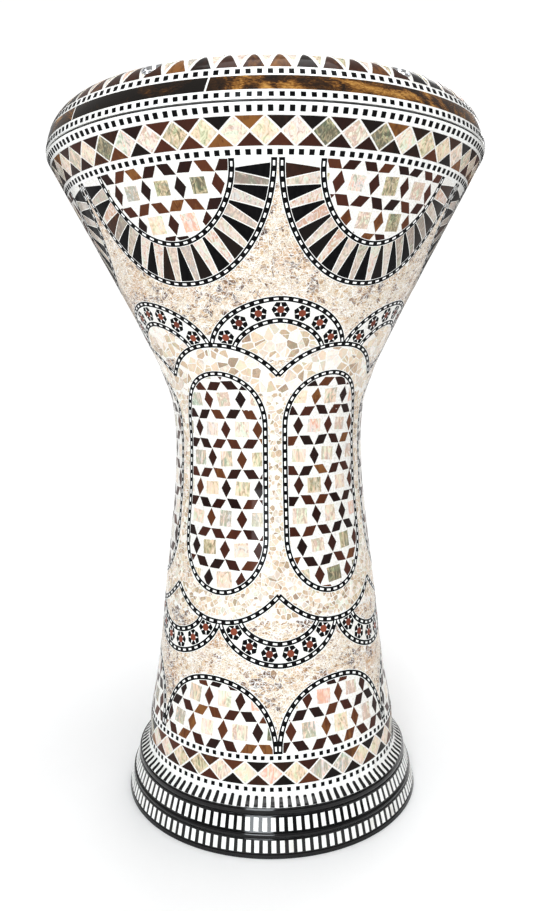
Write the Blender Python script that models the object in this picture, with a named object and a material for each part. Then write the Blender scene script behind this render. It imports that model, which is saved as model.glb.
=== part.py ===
"""Darbuka: a cast aluminium goblet drum in an inlaid covering, with a bolted tuning ring.

Metres, +Z up. The origin is on the drum's axis, on the surface that the drum stands on.
Angles about the axis start at +X and run anticlockwise seen from above.
"""

import math

import bmesh
import bpy
from mathutils import Matrix, Vector

# Driving dimensions
SEGMENTS = 36               # facets round the drum, a multiple of the six bolts
BOLT_SEGMENTS = 12          # facets round a bolt, a washer or a bolt hole
BOLT_COUNT = 6
SKIN = 0.0012               # thickness of the inlaid covering
GAP = 0.0003                # clearance between pieces that touch
WALL = 0.0038               # thickness of the cast shell
WELD = 0.00001              # points nearer than this are one point
SEAM = 0.4018               # height where the covering ends below the tuning ring

# Height and radius of the covered outside, from the ground to the seam
OUTSIDE = [
    (0.0000, 0.0936),       # edge that the drum stands on
    (0.0100, 0.0908),
    (0.0205, 0.0872),
    (0.0242, 0.0862),       # shoulder of the foot
    (0.0262, 0.0834),
    (0.0300, 0.0804),
    (0.0450, 0.0795),
    (0.0600, 0.0770),
    (0.0800, 0.0737),
    (0.1300, 0.0686),
    (0.1900, 0.0624),
    (0.2150, 0.0609),       # neck
    (0.2350, 0.0613),
    (0.2500, 0.0637),
    (0.2700, 0.0706),
    (0.3000, 0.0853),
    (0.3400, 0.1066),
    (0.3800, 0.1282),
    (SEAM, 0.1400),
]

# Strips of the covering, from the ground up: name, top height, straight steps, kind
STRIPS = [
    ("base_ring", 0.0021, 1, "ebony"),
    ("foot_bar_band_3", 0.0096, 1, "bone_bars"),
    ("foot_rib_2", 0.0123, 1, "rib"),
    ("foot_bar_band_2", 0.0204, 1, "bone_bars"),
    ("foot_rib_1", 0.0242, 1, "rib"),
    ("foot_bar_band_1", 0.0291, 2, "bone_bars"),
    ("foot_lower_square_strip", 0.0336, 1, "squares"),
    ("foot_diamond_band", 0.0465, 1, "diamonds"),
    ("foot_upper_square_strip", 0.0510, 1, "squares"),
    ("lower_inlay", 0.1386, 4, "mosaic"),
    ("neck_inlay", 0.2661, 6, "mosaic"),
    ("bowl_inlay", 0.3777, 4, "mosaic"),
    ("rim_lower_square_strip", 0.3829, 1, "squares"),
    ("rim_diamond_band", 0.3961, 1, "diamonds"),
    ("rim_upper_square_strip", SEAM, 1, "squares"),
]
RIB_RISE = 0.0005           # how far the black ribs of the foot stand proud

# Flange, bearing edge and film
FLANGE_TOP = SEAM - GAP
FLANGE_UNDERSIDE = 0.3850
COLLAR_INNER = 0.1105
COLLAR_OUTER = 0.1145
EDGE_ROUND = (COLLAR_OUTER - COLLAR_INNER) / 2
EDGE_CENTRE = ((COLLAR_OUTER + COLLAR_INNER) / 2, 0.4227)
FILM = 0.0004
FILM_LIP_RADIUS = 0.1190
FILM_LIP_BOTTOM = 0.4118
HOOP_INNER = 0.1157
HOOP_OUTER = 0.1208
HOOP_HEIGHT = 0.0046

# Tuning ring: a quarter ellipse outside, and a small one over the inner lip
RING_CENTRE = (0.1190, 0.4020)
RING_SPAN = (0.0210, 0.0290)
LIP_CENTRE = (0.1190, 0.4275)
LIP_SPAN = (0.0030, 0.0035)
RING_BOTTOM = SEAM + 0.0008
RING_LIP_INNER = 0.1158
RING_WELL = 0.1215          # radius of the hollow that holds the hoop
STRIP_GAP = math.radians(0.8)
# Strips of the ring's covering: name, ellipse angles in degrees, straight steps, kind
RING_STRIPS = [
    ("ring_lower_square_strip", 1.8, 11.7, 1, "squares"),
    ("ring_tortoise_band", 11.7, 27.2, 2, "tortoise"),
    ("ring_upper_square_strip", 27.2, 38.6, 1, "squares"),
    ("ring_triangle_band", 38.6, 90.0, 4, "mosaic"),
]
LIP_STEPS = 2

# M6 x 25 socket-head bolts
BOLT_CIRCLE = 0.1284
BOLT_SEAT = 0.4168          # floor of each recess in the ring
RECESS_RADIUS = 0.0057
CLEAR_RADIUS = 0.0034
THREAD_HOLE_RADIUS = 0.0033
THREAD_HOLE_BOTTOM = 0.3925
SHANK_RADIUS = 0.0030
SHANK_LENGTH = 0.0250
HEAD_RADIUS = 0.0050
HEAD_HEIGHT = 0.0060
HEAD_CHAMFER = 0.0005
SOCKET_ACROSS = 0.0050
SOCKET_DEPTH = 0.0030
WASHER_OUTER = 0.0055
WASHER_INNER = 0.0033
WASHER_THICKNESS = 0.0011
WASHER_BOTTOM = BOLT_SEAT + GAP
HEAD_BOTTOM = WASHER_BOTTOM + WASHER_THICKNESS + GAP

# Base colour, roughness and metallic of each material
FINISHES = {
    "aluminium": ((0.62, 0.62, 0.64), 0.35, 1.0),
    "steel": ((0.70, 0.70, 0.72), 0.25, 1.0),
    "film": ((0.90, 0.90, 0.88), 0.40, 0.0),
    "ebony": ((0.02, 0.02, 0.02), 0.20, 0.0),
    "rib": ((0.02, 0.02, 0.02), 0.20, 0.0),
    "bone_bars": ((0.80, 0.78, 0.72), 0.20, 0.0),
    "squares": ((0.85, 0.84, 0.80), 0.20, 0.0),
    "diamonds": ((0.30, 0.16, 0.10), 0.20, 0.0),
    "tortoise": ((0.12, 0.07, 0.04), 0.15, 0.0),
    "mosaic": ((0.62, 0.56, 0.48), 0.20, 0.0),
}


def clear_scene():
    for scene_object in list(bpy.data.objects):
        bpy.data.objects.remove(scene_object, do_unlink=True)


def finish(name):
    """The Principled material of this name, made once."""
    existing = bpy.data.materials.get(name)
    if existing:
        return existing
    colour, roughness, metallic = FINISHES[name]
    material = bpy.data.materials.new(name)
    material.use_nodes = True
    shader = material.node_tree.nodes["Principled BSDF"]
    shader.inputs["Base Color"].default_value = (*colour, 1.0)
    shader.inputs["Roughness"].default_value = roughness
    shader.inputs["Metallic"].default_value = metallic
    material.diffuse_color = (*colour, 1.0)
    return material


def turned(name, outline, finish_name, segments=SEGMENTS, closed=True):
    """Turns an outline of (radius, height) points about the Z axis into one solid.

    An outline that isn't closed starts and ends on the axis.
    """
    mesh = bpy.data.meshes.new(name)
    shape = bmesh.new()
    corners = [shape.verts.new((radius, 0.0, height)) for radius, height in outline]
    for start, end in zip(corners, corners[1:]):
        shape.edges.new((start, end))
    if closed:
        shape.edges.new((corners[-1], corners[0]))
    bmesh.ops.spin(
        shape,
        geom=shape.verts[:] + shape.edges[:],
        cent=(0.0, 0.0, 0.0),
        axis=(0.0, 0.0, 1.0),
        angle=math.tau,
        steps=segments,
        use_merge=True,
    )
    bmesh.ops.remove_doubles(shape, verts=shape.verts, dist=WELD)
    bmesh.ops.recalc_face_normals(shape, faces=shape.faces)
    shape.to_mesh(mesh)
    shape.free()
    mesh.shade_smooth()
    mesh.set_sharp_from_angle(angle=math.radians(35.0))
    piece = bpy.data.objects.new(name, mesh)
    bpy.context.scene.collection.objects.link(piece)
    mesh.materials.append(finish(finish_name))
    return piece


def arc(centre, span, start, end, steps):
    """Points of an ellipse about centre, from one angle to another, in radians."""
    points = []
    for step in range(steps + 1):
        angle = start + (end - start) * step / steps
        points.append((centre[0] + span[0] * math.cos(angle), centre[1] + span[1] * math.sin(angle)))
    return points


def outside_slopes():
    """Slope of the outside at each of its points, with no overshoot between them."""
    secants = []
    for (low, low_radius), (high, high_radius) in zip(OUTSIDE, OUTSIDE[1:]):
        secants.append((high_radius - low_radius) / (high - low))
    slopes = [secants[0]]
    for below, above in zip(secants, secants[1:]):
        if below * above <= 0.0:
            slopes.append(0.0)
        else:
            slopes.append(2.0 * below * above / (below + above))
    return slopes + [secants[-1]]


SLOPES = outside_slopes()


def outside_radius(height):
    """Radius of the covered outside at a height: a smooth cubic through OUTSIDE."""
    index = 0
    while index < len(OUTSIDE) - 2 and height > OUTSIDE[index + 1][0]:
        index += 1
    low, low_radius = OUTSIDE[index]
    high, high_radius = OUTSIDE[index + 1]
    length = high - low
    part = (height - low) / length
    rest = 1.0 - part
    return (
        low_radius * rest * rest * (1.0 + 2.0 * part)
        + high_radius * part * part * (1.0 + 2.0 * rest)
        + SLOPES[index] * length * part * rest * rest
        - SLOPES[index + 1] * length * part * part * rest
    )


def strip_heights(bottom, top, steps):
    return [bottom + (top - bottom) * step / steps for step in range(steps + 1)]


def covering_strip(name, bottom, top, steps, kind):
    """One strip of the covering: a thin ring that follows the outside."""
    heights = strip_heights(bottom, top, steps)
    inner = [(outside_radius(height) - SKIN, height) for height in reversed(heights)]
    if kind == "rib":
        centre = ((outside_radius(bottom) + outside_radius(top)) / 2, (bottom + top) / 2)
        half = (RIB_RISE, (top - bottom) / 2)
        outer = arc(centre, half, -math.pi / 2, math.pi / 2, 4)
    else:
        outer = [(outside_radius(height), height) for height in heights]
    return turned(name, outer + inner, kind)


def covering():
    bottom = 0.0
    for name, top, steps, kind in STRIPS:
        covering_strip(name, bottom, top - GAP, steps, kind)
        bottom = top


def shell_outside():
    """The shell's outer side, top to bottom, a clearance inside the covering."""
    heights = [0.0]
    bottom = 0.0
    for _name, top, steps, _kind in STRIPS:
        heights += strip_heights(bottom, top - GAP, steps)[1:-1] + [top - GAP / 2]
        bottom = top
    heights[-1] = FLANGE_TOP
    offset = SKIN + GAP
    return [(outside_radius(height) - offset, height) for height in reversed(heights)]


def shell_inside():
    """The shell's inner side, from the foot up to the underside of the flange."""
    offset = SKIN + GAP + WALL
    heights = [0.0, 0.0120, 0.0230, 0.0300, 0.0450, 0.0800, 0.1300, 0.1800]
    heights += [0.2150, 0.2400, 0.2600, 0.2850, 0.3300, FLANGE_UNDERSIDE]
    return [(outside_radius(height) - offset, height) for height in heights]


def bolt_places():
    for index in range(BOLT_COUNT):
        angle = math.tau * index / BOLT_COUNT
        yield index + 1, Vector((BOLT_CIRCLE * math.cos(angle), BOLT_CIRCLE * math.sin(angle), 0.0))


def cutters(collection_name, outline):
    """Six hidden cutters on the bolt circle, gathered in a collection."""
    gathered = bpy.data.collections.new(collection_name)
    bpy.context.scene.collection.children.link(gathered)
    for number, place in bolt_places():
        cutter = turned(f"{collection_name}_{number}", outline, "steel", BOLT_SEGMENTS, closed=False)
        bpy.context.scene.collection.objects.unlink(cutter)
        gathered.objects.link(cutter)
        cutter.location = place
        cutter.hide_render = True
        cutter.display_type = "WIRE"
    return gathered


def cut(piece, gathered):
    modifier = piece.modifiers.new("bolt_holes", "BOOLEAN")
    modifier.operation = "DIFFERENCE"
    modifier.operand_type = "COLLECTION"
    modifier.collection = gathered
    modifier.solver = "EXACT"


def shell():
    """The cast goblet: its flange holds the bolts, and its collar is the bearing edge."""
    rise = FLANGE_UNDERSIDE + 0.0060
    collar = [
        (COLLAR_INNER, rise),
        *arc(EDGE_CENTRE, (EDGE_ROUND, EDGE_ROUND), math.pi, 0.0, 4),
        (COLLAR_OUTER, FLANGE_TOP),
    ]
    piece = turned("shell", shell_outside() + shell_inside() + collar, "aluminium")
    hole = [
        (0.0, THREAD_HOLE_BOTTOM),
        (THREAD_HOLE_RADIUS, THREAD_HOLE_BOTTOM),
        (THREAD_HOLE_RADIUS, RING_BOTTOM),
        (0.0, RING_BOTTOM),
    ]
    cut(piece, cutters("thread_hole", hole))


def drumhead():
    """The film: flat over the bearing edge, down a short skirt, and out under the hoop."""
    reach = EDGE_ROUND + GAP
    over = reach + FILM
    top = EDGE_CENTRE[1] + over
    outline = [
        (0.0, top),
        *arc(EDGE_CENTRE, (over, over), math.pi / 2, 0.0, 3),
        (EDGE_CENTRE[0] + over, FILM_LIP_BOTTOM + FILM),
        (FILM_LIP_RADIUS, FILM_LIP_BOTTOM + FILM),
        (FILM_LIP_RADIUS, FILM_LIP_BOTTOM),
        (EDGE_CENTRE[0] + reach, FILM_LIP_BOTTOM),
        *arc(EDGE_CENTRE, (reach, reach), 0.0, math.pi / 2, 3),
        (0.0, top - FILM),
    ]
    turned("drumhead", outline, "film", closed=False)


def flesh_hoop():
    bottom = FILM_LIP_BOTTOM + FILM + GAP
    top = bottom + HOOP_HEIGHT
    outline = [
        (HOOP_INNER, bottom),
        (HOOP_OUTER, bottom),
        (HOOP_OUTER, top),
        (HOOP_INNER, top),
    ]
    turned("flesh_hoop", outline, "aluminium")


def ring_arc(inset, start, end, steps):
    """Points of the ring's outer curve, set inwards by inset."""
    span = (RING_SPAN[0] - inset, RING_SPAN[1] - inset)
    return arc(RING_CENTRE, span, start, end, steps)


def lip_arc(inset, start, end, steps):
    span = (LIP_SPAN[0] - inset, LIP_SPAN[1] - inset)
    return arc(LIP_CENTRE, span, start, end, steps)


def ring_strip(name, start, end, steps, kind):
    """One strip of the ring's covering. The last one runs on over the inner lip."""
    start = math.radians(start)
    end = math.radians(end)
    over_lip = end > math.radians(89.0)
    if not over_lip:
        end -= STRIP_GAP
    outer = ring_arc(0.0, start, end, steps)
    inner = ring_arc(SKIN, start, end, steps)
    if over_lip:
        outer += lip_arc(0.0, end, math.pi, LIP_STEPS)[1:]
        inner += lip_arc(SKIN, end, math.pi, LIP_STEPS)[1:]
    return turned(name, outer + inner[::-1], kind)


def tuning_ring():
    """The metal ring that the bolts draw down on the hoop, and its covering."""
    offset = SKIN + GAP
    angles = []
    for _name, start, end, steps, _kind in RING_STRIPS:
        last = end - math.degrees(STRIP_GAP) if end < 89.0 else end
        angles += [start + (last - start) * step / steps for step in range(steps + 1)]
    outer = []
    for angle in angles:
        outer += ring_arc(offset, math.radians(angle), 0.0, 1)[:1]
    lip = lip_arc(offset, math.pi / 2, math.pi, LIP_STEPS)[1:]
    hoop_top = FILM_LIP_BOTTOM + FILM + GAP + HOOP_HEIGHT
    inside = [
        (LIP_CENTRE[0] - LIP_SPAN[0] + offset, LIP_CENTRE[1] - GAP * 2),
        (RING_LIP_INNER, LIP_CENTRE[1] - GAP * 2),
        (RING_LIP_INNER, hoop_top + GAP),
        (RING_WELL, hoop_top + GAP),
        (RING_WELL, RING_BOTTOM),
        (RING_CENTRE[0] + RING_SPAN[0] - offset, RING_BOTTOM),
    ]
    piece = turned("tuning_ring", outer + lip + inside, "aluminium")
    above = RING_CENTRE[1] + RING_SPAN[1] + RECESS_RADIUS
    recess = [
        (0.0, FLANGE_TOP),
        (CLEAR_RADIUS, FLANGE_TOP),
        (CLEAR_RADIUS, BOLT_SEAT),
        (RECESS_RADIUS, BOLT_SEAT),
        (RECESS_RADIUS, above),
        (0.0, above),
    ]
    recesses = cutters("bolt_recess", recess)
    cut(piece, recesses)
    for name, start, end, steps, kind in RING_STRIPS:
        strip = ring_strip(name, start, end, steps, kind)
        if name == "ring_triangle_band":
            cut(strip, recesses)


def socket_cutter(number, place):
    """The hexagon that makes a bolt's socket."""
    mesh = bpy.data.meshes.new("socket")
    shape = bmesh.new()
    corner_radius = SOCKET_ACROSS / 2 / math.cos(math.pi / 6)
    bmesh.ops.create_cone(
        shape,
        cap_ends=True,
        segments=6,
        radius1=corner_radius,
        radius2=corner_radius,
        depth=SOCKET_DEPTH * 2,
        matrix=Matrix.Translation((0.0, 0.0, HEAD_BOTTOM + HEAD_HEIGHT)),
    )
    shape.to_mesh(mesh)
    shape.free()
    cutter = bpy.data.objects.new(f"socket_{number}", mesh)
    bpy.context.scene.collection.objects.link(cutter)
    cutter.location = place
    cutter.hide_render = True
    cutter.display_type = "WIRE"
    return cutter


def tension_bolt(number, place):
    top = HEAD_BOTTOM + HEAD_HEIGHT
    tip = HEAD_BOTTOM - SHANK_LENGTH
    outline = [
        (0.0, top),
        (HEAD_RADIUS - HEAD_CHAMFER, top),
        (HEAD_RADIUS, top - HEAD_CHAMFER),
        (HEAD_RADIUS, HEAD_BOTTOM),
        (SHANK_RADIUS, HEAD_BOTTOM),
        (SHANK_RADIUS, tip + HEAD_CHAMFER),
        (SHANK_RADIUS - HEAD_CHAMFER, tip),
        (0.0, tip),
    ]
    piece = turned(f"tension_bolt_{number}", outline, "steel", BOLT_SEGMENTS, closed=False)
    piece.location = place
    modifier = piece.modifiers.new("socket", "BOOLEAN")
    modifier.operation = "DIFFERENCE"
    modifier.object = socket_cutter(number, place)
    modifier.solver = "EXACT"


def washer(number, place):
    top = WASHER_BOTTOM + WASHER_THICKNESS
    outline = [
        (WASHER_INNER, WASHER_BOTTOM),
        (WASHER_OUTER, WASHER_BOTTOM),
        (WASHER_OUTER, top),
        (WASHER_INNER, top),
    ]
    piece = turned(f"washer_{number}", outline, "steel", BOLT_SEGMENTS)
    piece.location = place


def main():
    clear_scene()
    shell()
    covering()
    drumhead()
    flesh_hoop()
    tuning_ring()
    for number, place in bolt_places():
        tension_bolt(number, place)
        washer(number, place)


main()
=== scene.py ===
"""Looks of the darbuka: mother-of-pearl, bone and ebony mosaic laid over the CAD frame."""

import bisect
import copy
import math
import random

import bmesh
import bpy
import numpy as np
from mathutils import Matrix, Vector


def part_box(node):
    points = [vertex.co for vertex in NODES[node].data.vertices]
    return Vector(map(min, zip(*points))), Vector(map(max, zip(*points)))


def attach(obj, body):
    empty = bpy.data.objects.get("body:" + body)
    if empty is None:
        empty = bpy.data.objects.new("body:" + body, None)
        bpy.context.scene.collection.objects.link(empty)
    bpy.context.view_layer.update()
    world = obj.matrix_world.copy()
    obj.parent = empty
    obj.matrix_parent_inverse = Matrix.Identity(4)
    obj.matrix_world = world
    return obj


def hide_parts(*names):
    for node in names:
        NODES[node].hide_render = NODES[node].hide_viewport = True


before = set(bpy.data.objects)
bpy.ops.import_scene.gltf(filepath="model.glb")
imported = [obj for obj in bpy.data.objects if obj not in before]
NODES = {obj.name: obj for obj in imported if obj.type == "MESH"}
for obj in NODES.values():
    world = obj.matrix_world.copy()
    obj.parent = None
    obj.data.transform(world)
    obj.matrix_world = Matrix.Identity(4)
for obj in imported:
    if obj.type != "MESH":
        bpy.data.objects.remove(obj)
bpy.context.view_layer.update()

SEED = 7
MM = 0.001
SECTORS = 6
SECTOR = 60.0                       # degrees from one panel to the next

# Layers of the covering, as lifts from the CAD surface
GROUT_LIFT = -0.14 * MM
GROUT_DEPTH = 0.90 * MM
SHARD_LIFT = 0.0
TILE_LIFT = 0.04 * MM
EDGE_LIFT = 0.06 * MM
RIBBON_LIFT = 0.10 * MM
INLAY_LIFT = 0.14 * MM
WAVE_RAISE = 0.03 * MM              # the waves lie over the ends of the star arcs
WALL_DEPTH = 0.25 * MM
SEAM_CLOSING = 0.15 * MM            # the strips reach this far into the clearance between CAD nodes
GROUT_TURNS = 144
STRIP_TURNS = 180
TILE_TURN = math.radians(3.0)       # no flat part of a tile is wider
TILE_RISE = 4.0 * MM                # or taller
STRIP_RISE = 1.6 * MM               # nor taller than this on the narrow strips

# Ribbons that border every motif
RIBBON_WIDTH = 3.0 * MM
RIBBON_EDGE = 3.7 * MM
DASH_LENGTH = 2.7 * MM
DASH_WIDTH = 1.15 * MM
DASH_PITCH = 5.5 * MM
PANEL_DASH_PITCH = 4.9 * MM
LINE_STEP = 1.4 * MM
FINE_STEP = 0.5 * MM

# Strips of small squares: how many go round, and how wide each is
SQUARES = {
    "foot_lower_square_strip": (101, 2.15 * MM),
    "foot_upper_square_strip": (102, 2.15 * MM),
    "rim_lower_square_strip": (151, 2.6 * MM),
    "rim_upper_square_strip": (162, 2.6 * MM),
    "ring_lower_square_strip": (165, 2.5 * MM),
    "ring_upper_square_strip": (162, 2.5 * MM),
}
SQUARE_SHARE = 0.50                 # of the strip's height

# Bars of the foot: how many go round, and how much of the way they fill
BARS = {"foot_bar_band_3": 121, "foot_bar_band_2": 116, "foot_bar_band_1": 111}
BAR_SHARE = 0.56
BAR_MARGIN = 0.09                   # of the band's height
TAPER_SHARE = 0.40

# Diamonds
RIM_DIAMONDS = 54
FOOT_DIAMONDS = 34
FOOT_DIAMOND_TURN = 1.4             # degrees
DIAMOND_LINE = 1.1 * MM

# Honeycomb of rhombi and pearl squares: width of a cell, and height of a row
PANEL_CELL = (20.0 * MM, 17.8 * MM)
PETAL_CELL = (21.3 * MM, 19.8 * MM)
ARCH_CELL = (20.8 * MM, 17.0 * MM)
RHOMBUS_SHARES = (0.585, 0.335)     # its diagonals, as shares of the cell's mean side
SQUARE_OF_CELL = 0.44
SMALLEST_TILE = 3.0 * MM * MM
LOOSE = 0.35 * MM                   # how far hand-laid tiles stray

# Broken pearl: from one piece to the next, and the share that is split into two slivers
BROKEN = (6.0 * MM, 0.45)
CRUMBS = (4.3 * MM, 0.75)
PALE_CRUMBS = (3.2 * MM, 0.65)
STRAY = 0.46                        # how far a piece strays, as a share of the pitch
ROW_RISE = 0.92                     # from row to row, as a share of the pitch
CRUMB_GAP = 0.45                    # the gaps between crumbs, as a share of those between pieces
SMALLEST_SHARD = (0.45 * MM) ** 2

# Stars
STAR_HEXAGON = 5.1 * MM
STAR_RAY_FOOT = (1.431 * MM, 0.7155 * MM)   # from the centre, and half the width there
STAR_RAY_TIP = (4.299 * MM, 0.08 * MM)
STAR_DISC = 2.15 * MM
UPPER_STARS = 7
LOWER_STARS = 6

# Sun rays of the petals
RAYS = 15
RAY_FEET = 0.0665                   # from one ray to the next, as a share of the outer border
RAY_TIPS = 0.0655                   # the same along the inner border
RAY_SHARE = 0.69

# Tuning ring
RING_CENTRE = (0.1190, 0.4020)
RING_LIP = (3.0 * MM, 3.5 * MM)
RING_TRIANGLES = 64
# Where each horn strip of the tuning ring starts, in degrees, and its tone
TORTOISE_STRIPS = ((-120.0, 0.5), (-52.5, 0.1), (-15.5, 0.66), (62.0, 0.4), (128.0, 0.7), (195.0, 0.3))
TORTOISE_GAP = math.radians(0.22)
TORTOISE_LEAN = math.radians(0.8)
TORTOISE_STEP = math.radians(2.5)

# Bolts and their recesses
BOLT_RECESS = 5.75 * MM
RECESS_REACH = 8.0 * MM             # tiles this near to a recess are cut fine
LINER = (0.45 * MM, 0.05 * MM)      # how far its sleeve reaches inwards and outwards
LINER_STEPS = 48
KNURLS = 48
KNURL_DEPTH = 0.16 * MM
HEAD_HEIGHT = 6.0 * MM
SHANK = 3.0 * MM
CHAMFER = 0.5 * MM
HEAD_ROUND = 0.3 * MM
SOCKET = (2.5 * MM, 3.0 * MM)       # half its width across flats, and its depth

# Camera
LENS = 30.9
SENSOR = 36.0
SHIFT = -0.0993
EYE = (-0.0307, -0.5192, 0.2816)
YAW, PITCH, ROLL = math.radians(3.3), 0.02, math.radians(-0.619)


# Outline of the CAD part, and places on it


class Surface:
    """A surface of revolution. A place on it is an angle about Z and a length along its outline."""

    def __init__(self, outline):
        points = np.array(outline)
        lengths = np.hypot(*np.diff(points, axis=0).T)
        self.along = np.concatenate([[0.0], np.cumsum(lengths)])
        self.radii, self.heights = points.T
        tangents = np.gradient(points, self.along, axis=0)
        tangents /= np.linalg.norm(tangents, axis=1)[:, None]
        self.normals = np.stack([tangents[:, 1], -tangents[:, 0]], axis=1)

    def radius(self, along):
        return float(np.interp(along, self.along, self.radii))

    def height(self, along):
        return float(np.interp(along, self.along, self.heights))

    def at_height(self, height):
        """Length along the outline at a height. It serves outlines that only rise."""
        return float(np.interp(height, self.heights, self.along))

    def at_radius(self, radius):
        """The same at a radius. It serves outlines that only lean inwards."""
        return float(np.interp(-radius, -self.radii, self.along))

    def span(self, node):
        """Where a CAD node starts and ends along the outline."""
        low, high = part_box(node)
        return self.at_height(low.z), self.at_height(high.z)

    def place(self, places):
        """World points and normals of (angle, length, lift) rows. Angle 0 faces the player, at -Y."""
        turns, along, lift = np.array(places).T
        normal_radius = np.interp(along, self.along, self.normals[:, 0])
        normal_height = np.interp(along, self.along, self.normals[:, 1])
        radius = np.interp(along, self.along, self.radii) + lift * normal_radius
        height = np.interp(along, self.along, self.heights) + lift * normal_height
        sine, cosine = np.sin(turns), np.cos(turns)
        points = np.stack([radius * sine, -radius * cosine, height], axis=1)
        normals = np.stack([normal_radius * sine, -normal_radius * cosine, normal_height], axis=1)
        return points, normals


def smooth_outline(points, step=0.4 * MM):
    """A monotone cubic through (radius, height) points that rise."""
    radii, heights = np.array(points).T
    rises = np.diff(heights)
    secants = np.diff(radii) / rises
    slopes = np.concatenate([[secants[0]], np.zeros(len(secants) - 1), [secants[-1]]])
    for index, (below, above) in enumerate(zip(secants, secants[1:]), 1):
        if below * above > 0.0:
            slopes[index] = 2.0 * below * above / (below + above)
    fine = []
    for index, rise in enumerate(rises):
        for part in np.linspace(0.0, 1.0, max(1, math.ceil(rise / step)), endpoint=False):
            rest = 1.0 - part
            start = radii[index] * (1.0 + 2.0 * part) + slopes[index] * rise * part
            end = radii[index + 1] * (1.0 + 2.0 * rest) - slopes[index + 1] * rise * rest
            fine.append((start * rest * rest + end * part * part, heights[index] + rise * part))
    fine.append((radii[-1], heights[-1]))
    return fine


def node_rings(node):
    """(radius, height) of each outer ring of vertices of a turned CAD node."""
    widest = {}
    for vertex in NODES[node].data.vertices:
        radius = math.hypot(vertex.co.x, vertex.co.y)
        height = round(vertex.co.z, 5)
        widest[height] = max(widest.get(height, 0.0), radius)
    return [(radius, height) for height, radius in sorted(widest.items())]


BODY_NODES = ["foot_bar_band_3", "foot_bar_band_2", "foot_bar_band_1"]
BODY_NODES += ["foot_lower_square_strip", "foot_diamond_band", "foot_upper_square_strip"]
BODY_NODES += ["lower_inlay", "neck_inlay", "bowl_inlay"]
BODY_NODES += ["rim_lower_square_strip", "rim_diamond_band", "rim_upper_square_strip"]


def body_surface():
    rings = []
    for node in BODY_NODES:
        for ring in node_rings(node):
            if not rings or ring[1] > rings[-1][1] + 0.5 * MM:
                rings.append(ring)
    return Surface(smooth_outline(rings))


def ellipse(centre, span, start, end, count):
    angles = np.linspace(start, end, count)
    return [(centre[0] + span[0] * math.cos(a), centre[1] + span[1] * math.sin(a)) for a in angles]


def ring_surface():
    """The tuning ring's outside, from the seam up over the crown and down its inner lip."""
    radius, crown = RING_CENTRE
    widest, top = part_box("ring_lower_square_strip")[1].x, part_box("ring_triangle_band")[1].z
    outline = ellipse(RING_CENTRE, (widest - radius, top - crown), math.radians(1.8), math.pi / 2, 120)
    outline += ellipse((radius, top - RING_LIP[1]), RING_LIP, math.pi / 2, math.pi, 30)[1:]
    return Surface(outline)


BODY = body_surface()
RING = ring_surface()


# Materials

EVEN = (1.0, 1.0, 1.0)
BLACK, WHITE = (0.0, 0.0, 0.0), (1.0, 1.0, 1.0)


def socket(tree, kind, output=0, inputs=(), **settings):
    """One output of a new node, whose inputs are sockets or plain values."""
    node = tree.nodes.new(kind)
    for key, value in settings.items():
        setattr(node, key, value)
    for key, value in dict(inputs).items():
        if isinstance(value, bpy.types.NodeSocket):
            tree.links.new(value, node.inputs[key])
        else:
            node.inputs[key].default_value = value
    return node.outputs[output]


def material(name, finish, colour_of, *details):
    """A material coloured by a function of its node tree. The finish holds the shader's constants."""
    made = bpy.data.materials.new(name)
    made.use_nodes = True
    tree = made.node_tree
    shader = tree.nodes["Principled BSDF"]
    tree.links.new(colour_of(tree, *details), shader.inputs["Base Color"])
    for key, value in finish.items():
        shader.inputs[key].default_value = value
    return made


def lacquer(roughness=0.28, specular=0.25, coat=0.6, index=1.35):
    """Clear lacquer over the mosaic."""
    finish = {"Roughness": roughness, "Specular IOR Level": specular}
    finish.update({"Coat Weight": coat, "Coat Roughness": 0.08, "Coat IOR": index})
    return finish


def ramp(tree, factor, stops):
    """A colour ramp through (position, colour) stops."""
    colour = socket(tree, "ShaderNodeValToRGB", "Color", {"Fac": factor})
    elements = colour.node.color_ramp.elements
    while len(elements) < len(stops):
        elements.new(0.5)
    for element, (position, shade) in zip(elements, stops):
        element.position = position
        element.color = (*shade, 1.0)
    return colour


def math_node(tree, operation, first, second):
    return socket(tree, "ShaderNodeMath", 0, {0: first, 1: second}, operation=operation)


def vector_node(tree, operation, first, second):
    return socket(tree, "ShaderNodeVectorMath", 0, {0: first, 1: second}, operation=operation)


def mixed(tree, factor, first, second, blend="MIX"):
    """Two colours mixed."""
    inputs = {0: factor, 6: first, 7: second}
    return socket(tree, "ShaderNodeMix", 2, inputs, data_type="RGBA", blend_type=blend)


def tint(tree):
    """A random number of each tile, from 0 to 1."""
    return socket(tree, "ShaderNodeAttribute", "Fac", attribute_name="tint")


def scaled(tree, value, amount):
    return math_node(tree, "MULTIPLY", value, amount)


def swing(tree, value, amount):
    """A value about 0.5, brought about 0 and scaled."""
    return scaled(tree, math_node(tree, "SUBTRACT", value, 0.5), amount)


def total(tree, first, *others):
    for other in others:
        first = math_node(tree, "ADD", first, other)
    return first


def noise(tree, scale, detail=3.0, distortion=0.0, stretch=EVEN, roughness=0.5, per_tile=False):
    """Noise in the object's own coordinates, shifted and turned from tile to tile if asked."""
    mapping = {"Vector": socket(tree, "ShaderNodeTexCoord", "Object"), "Scale": stretch}
    if per_tile:
        mapping["Location"] = scaled(tree, tint(tree), 7.3)
        mapping["Rotation"] = scaled(tree, tint(tree), 41.0)
    inputs = {"Vector": socket(tree, "ShaderNodeMapping", 0, mapping), "Scale": scale, "Detail": detail}
    inputs.update({"Distortion": distortion, "Roughness": roughness})
    return socket(tree, "ShaderNodeTexNoise", "Fac", inputs)


def grained(tree, scale, stops, detail=4.0, stretch=EVEN):
    """Fine grain between two colours."""
    return ramp(tree, noise(tree, scale, detail, 0.0, stretch), stops)


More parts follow.
